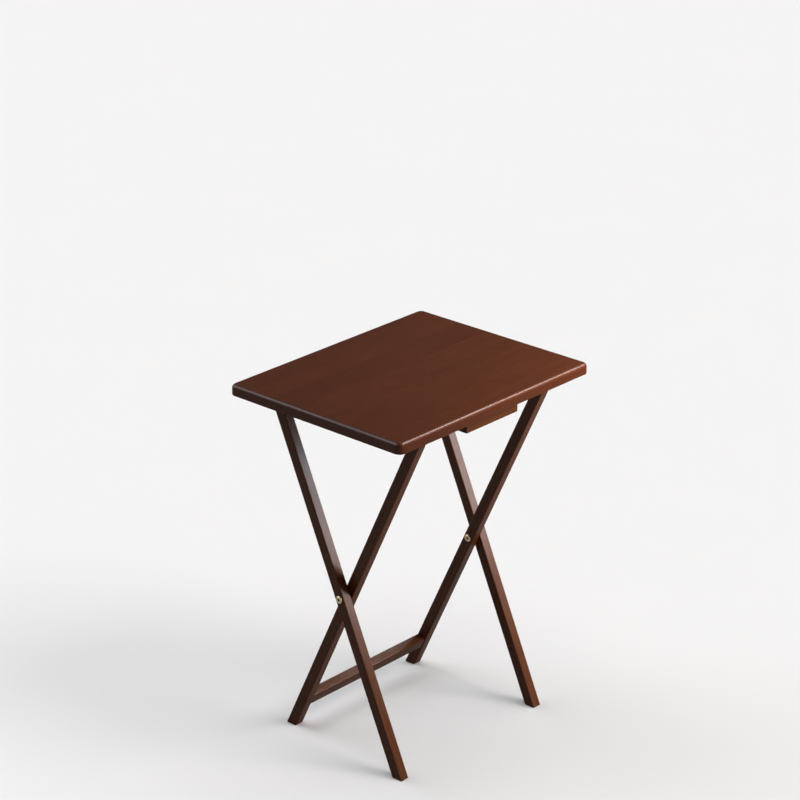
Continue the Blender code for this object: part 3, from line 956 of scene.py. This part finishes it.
def tapered_bar(half_long, half_wide):
    """A four-sided bar along X, wider where it stands out of the screw's head."""
    bar = bmesh.new()
    rims = []
    for x, share in zip((CROSS_RUNOUT, -CROSS_DEPTH), CROSS_TAPER):
        rims.append([
            bar.verts.new((x, half_long * share * i, half_wide * share * j))
            for i, j in ((-1, -1), (1, -1), (1, 1), (-1, 1))
        ])
    bar.faces.new(rims[0])
    bar.faces.new(rims[1])
    for k in range(4):
        n = (k + 1) % 4
        bar.faces.new((rims[0][k], rims[0][n], rims[1][n], rims[1][k]))
    bmesh.ops.recalc_face_normals(bar, faces=bar.faces)
    return bar


def cross_cutter(matrix):
    """The cross recess in a wood screw's head: two tapered bars."""
    return [
        (tapered_bar(CROSS_HALF_LENGTH, CROSS_HALF_WIDTH), matrix),
        (tapered_bar(CROSS_HALF_WIDTH, CROSS_HALF_LENGTH), matrix),
    ]


def make_screws():
    names = [name for name in sorted(frame["nodes"]) if "screw" in name]
    for name in names:
        radius, shank, length = screw_sizes(name)
        tip = length - SCREW_TIP_LENGTH
        thread_start = -SCREW_HEAD_HEIGHT - SCREW_PLAIN_TURNS * THREAD_PITCH
        profile = [(0, 0), (radius - METAL_ARRIS, 0), (radius, -METAL_ARRIS), (shank, -SCREW_HEAD_HEIGHT),
                   *threaded(shank, thread_start, -tip), (0, -length)]
        matrix = upright(name)
        fine_piece(name, turned(profile, SMALL_STEPS), ZINC_FINISH, matrix, cross_cutter(matrix))


# Stage, light and camera


def make_floor():
    material, tree, shader = new_material("pale_floor")
    place = shader_node(tree, "TexCoord").outputs["Object"]
    mottle = noise(tree, place, MOTTLE_SCALE)
    colour = blend(tree, "MIX", mottle, FLOOR_DARK, FLOOR_LIGHT)
    ray = shader_node(tree, "LightPath").outputs
    unseen = blend(tree, "MIX", ray["Is Glossy Ray"], FLOOR_BOUNCE, FLOOR_GLOSS)
    colour = blend(tree, "MIX", ray["Is Camera Ray"], unseen, colour)
    tree.links.new(colour, shader.inputs["Base Color"])
    shader.inputs["Roughness"].default_value = FLOOR_ROUGHNESS
    shader.inputs["Specular IOR Level"].default_value = FLOOR_SPECULAR
    shape = bmesh.new()
    bmesh.ops.create_grid(shape, x_segments=1, y_segments=1, size=FLOOR_HALF_SIZE)
    floor = linked("floor", shape, Matrix.Identity(4))
    floor.data.materials.append(material)


def make_world():
    """Faint light from all round, and a pale wall where the view runs past the floor's edge."""
    world = bpy.data.worlds.new("studio")
    world.use_nodes = True
    bpy.context.scene.world = world
    tree = world.node_tree
    ambient = tree.nodes["Background"]
    ambient.inputs["Color"].default_value = WORLD_COLOUR
    ambient.inputs["Strength"].default_value = WORLD_STRENGTH
    wall = shader_node(tree, "Background", {"Color": WALL_COLOUR, "Strength": 1.0})
    seen = shader_node(tree, "LightPath").outputs["Is Camera Ray"]
    either = shader_node(tree, "MixShader", {0: seen, 1: ambient.outputs[0], 2: wall.outputs[0]})
    tree.links.new(either.outputs[0], tree.nodes["World Output"].inputs["Surface"])


def placed_light(name, kind, colour, back):
    """A light whose own -Z, the way it shines, points against the given direction."""
    lamp = bpy.data.lights.new(name, kind)
    lamp.color = colour
    holder = bpy.data.objects.new(name, lamp)
    bpy.context.scene.collection.objects.link(holder)
    holder.rotation_mode = "QUATERNION"
    holder.rotation_quaternion = Vector(back).normalized().to_track_quat("Z", "Y")
    return holder


def keep_for(holder, start):
    """Keeps a light for the pieces whose names start as given."""
    chosen = bpy.data.collections.new(f"lit_by_{holder.name}")
    for piece in bpy.data.objects:
        if piece.name.startswith(start):
            chosen.objects.link(piece)
    holder.light_linking.receiver_collection = chosen


def make_lights():
    for name, direction, irradiance, spread, colour, gloss_only, start in LIGHTS:
        holder = placed_light(name, "SUN", colour, direction)
        holder.data.energy = irradiance
        holder.data.angle = spread
        holder.visible_diffuse = not gloss_only
        if start:
            keep_for(holder, start)
    for name, place, width, height, power, colour, glossy, start in SOFTBOXES:
        holder = placed_light(name, "AREA", colour, Vector(place) - Vector(SOFTBOX_AIM))
        holder.location = place
        holder.data.shape = "RECTANGLE"
        holder.data.size = width
        holder.data.size_y = height
        holder.data.energy = power
        holder.visible_camera = False
        holder.visible_glossy = glossy
        keep_for(holder, start)


def make_camera():
    """At the viewing angle, distance and focal length of the reference view."""
    azimuth = radians(-47.5741)
    elevation = radians(22.4469)
    roll = radians(-0.1593)
    aim = Vector((0, 0, 0.6118))
    aside = 0.0187
    distance = 4.8944
    lens = 128.757
    back = Vector((sin(azimuth) * cos(elevation), -cos(azimuth) * cos(elevation), sin(elevation)))
    right = Vector((cos(azimuth), sin(azimuth), 0))
    up = back.cross(right)
    across = right * cos(roll) + up * sin(roll)
    upwards = up * cos(roll) - right * sin(roll)
    data = bpy.data.cameras.new("camera")
    data.lens = lens
    data.sensor_width = 36.0
    data.clip_start = 0.05
    data.clip_end = 100.0
    camera = bpy.data.objects.new("camera", data)
    bpy.context.scene.collection.objects.link(camera)
    turn = Matrix((across, upwards, back)).transposed().to_4x4()
    camera.matrix_world = Matrix.Translation(aim - aside * across + distance * back) @ turn
    bpy.context.scene.camera = camera


make_top()
make_outer_legs()
make_inner_frame()
make_cleats()
make_catch()
make_pivots()
make_washers()
make_hinge_fasteners()
make_screws()
make_floor()
make_world()
make_lights()
make_camera()
bpy.context.scene.view_settings.view_transform = "Standard"
